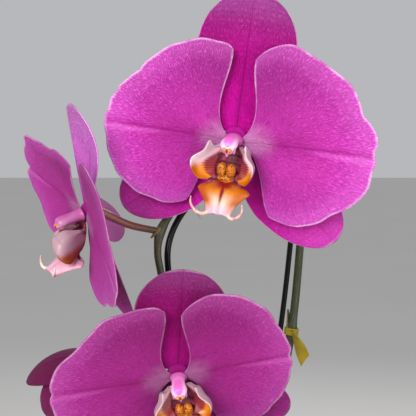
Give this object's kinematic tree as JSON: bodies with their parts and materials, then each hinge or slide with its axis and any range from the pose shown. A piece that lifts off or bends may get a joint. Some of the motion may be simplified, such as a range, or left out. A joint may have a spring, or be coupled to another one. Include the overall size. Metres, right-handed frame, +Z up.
{
  "type": "potted moth orchid",
  "caption": "Moth orchid in a round pot: one flower spike trained over an arched wire, with large magenta blooms, buds, strap leaves and aerial roots.",
  "frame": {"origin": "centre of the pot's foot, on the surface it stands on", "axes": "+Z up; the large bloom faces -Y, and +X is to the right as seen from the front"},
  "size_m": [0.4539, 0.2377, 0.6059],
  "materials": {
    "petal": "soft matt magenta petal with a fine vein net and a pale rim",
    "lip": "waxy lip: white and pink above, orange, with dark red stripes in its throat",
    "column": "waxy pale pink with a cream anther cap",
    "stem": "smooth dull olive green, reddish on the flower stalks",
    "bud": "smooth closed bud, greenish with a purple flush",
    "wire": "steel wire with a dark grey coat",
    "clear_plastic": "clear moulded clip",
    "tag": "plain yellow strip",
    "root": "silvery green aerial root, crown greener",
    "leaf": "thick leathery leaf with a sunk midrib, satin",
    "pot_glaze": "plain off-white glaze",
    "liner_plastic": "thin clear plastic",
    "bark": "coarse brown bark chips"
  },
  "bodies": {
    "root": {"bloom_1_tepals": "petal", "bloom_1_lip": "lip", "bloom_1_column": "column", "bloom_2_tepals": "petal", "bloom_2_lip": "lip", "bloom_2_column": "column", "bloom_3_tepals": "petal", "bloom_3_lip": "lip", "bloom_3_column": "column", "bloom_4_tepals": "petal", "bloom_4_lip": "lip", "bloom_4_column": "column", "bloom_5_tepals": "petal", "bloom_5_lip": "lip", "bloom_5_column": "column", "flower_spike": "stem", "bud_1": "bud", "bud_2": "bud", "bud_3": "bud", "support_wire": "wire", "clip_low": "clear_plastic", "clip_arch": "clear_plastic", "clip_high": "clear_plastic", "plain_tag": "tag", "crown_and_roots": "root", "leaf_1": "leaf", "leaf_2": "leaf", "leaf_3": "leaf", "leaf_4": "leaf", "leaf_5": "leaf", "pot": "pot_glaze", "nursery_liner": "liner_plastic", "bark_medium": "bark"}
  },
  "joints": []
}
